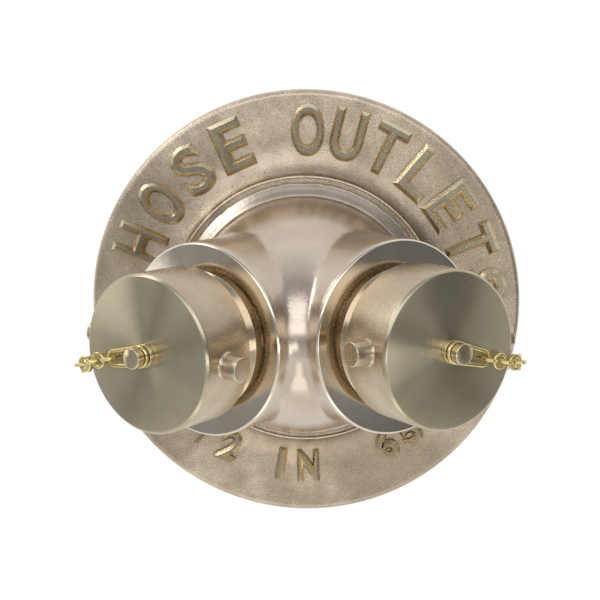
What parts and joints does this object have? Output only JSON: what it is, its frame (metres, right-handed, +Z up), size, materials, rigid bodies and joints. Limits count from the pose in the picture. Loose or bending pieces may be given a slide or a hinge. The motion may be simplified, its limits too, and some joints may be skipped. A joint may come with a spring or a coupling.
{
  "type": "two-way wall hydrant",
  "caption": "Cast brass wall hydrant: round wall plate, globe body with pipe inlet behind and angled hose outlets in front, each closed by a lugged screw cap on a chain.",
  "frame": {"origin": "on the neck's axis, in the plane of the wall behind the plate", "axes": "+Y into the wall along the neck's axis, -Y is the front, +Z is up, +X is to the viewer's right"},
  "size_m": [0.275, 0.2177, 0.275],
  "materials": {
    "body_brass": "cast, tumbled satin",
    "plate_brass": "sand cast, dull",
    "cap_brass": "cast walls, turned face",
    "trim_brass": "turned and drawn, bright",
    "gasket_rubber": "matte"
  },
  "bodies": {
    "hydrant": {"hydrant_body": "body_brass", "wall_plate": "plate_brass", "left_chain_anchor": "trim_brass", "left_chain": "trim_brass", "right_chain_anchor": "trim_brass", "right_chain": "trim_brass"},
    "left_chain_ring": {"left_chain_ring": "trim_brass"},
    "left_cap": {"left_cap": "cap_brass", "left_gasket": "gasket_rubber", "left_chain_stud": "trim_brass"},
    "right_chain_ring": {"right_chain_ring": "trim_brass"},
    "right_cap": {"right_cap": "cap_brass", "right_gasket": "gasket_rubber", "right_chain_stud": "trim_brass"}
  },
  "joints": [
    {"name": "left_cap_travel", "type": "slide", "parent": "hydrant", "child": "left_chain_ring", "axis": [-0.5736, -0.8192, 0], "range_m": [0, 0.0187], "deforming": ["left_chain"]},
    {"name": "left_cap_turn", "type": "hinge", "parent": "left_chain_ring", "child": "left_cap", "pos_m": [0, -0.03, 0], "axis": [-0.5736, -0.8192, 0], "range_deg": [0, 1980]},
    {"name": "right_cap_travel", "type": "slide", "parent": "hydrant", "child": "right_chain_ring", "axis": [0.5736, -0.8192, 0], "range_m": [0, 0.0187], "deforming": ["right_chain"]},
    {"name": "right_cap_turn", "type": "hinge", "parent": "right_chain_ring", "child": "right_cap", "pos_m": [0, -0.03, 0], "axis": [0.5736, -0.8192, 0], "range_deg": [0, 1980]}
  ],
  "couplings": [
    {"joint": "left_cap_travel", "follows": "left_cap_turn", "m_per_rad": 0.000539},
    {"joint": "right_cap_travel", "follows": "right_cap_turn", "m_per_rad": 0.000539}
  ]
}
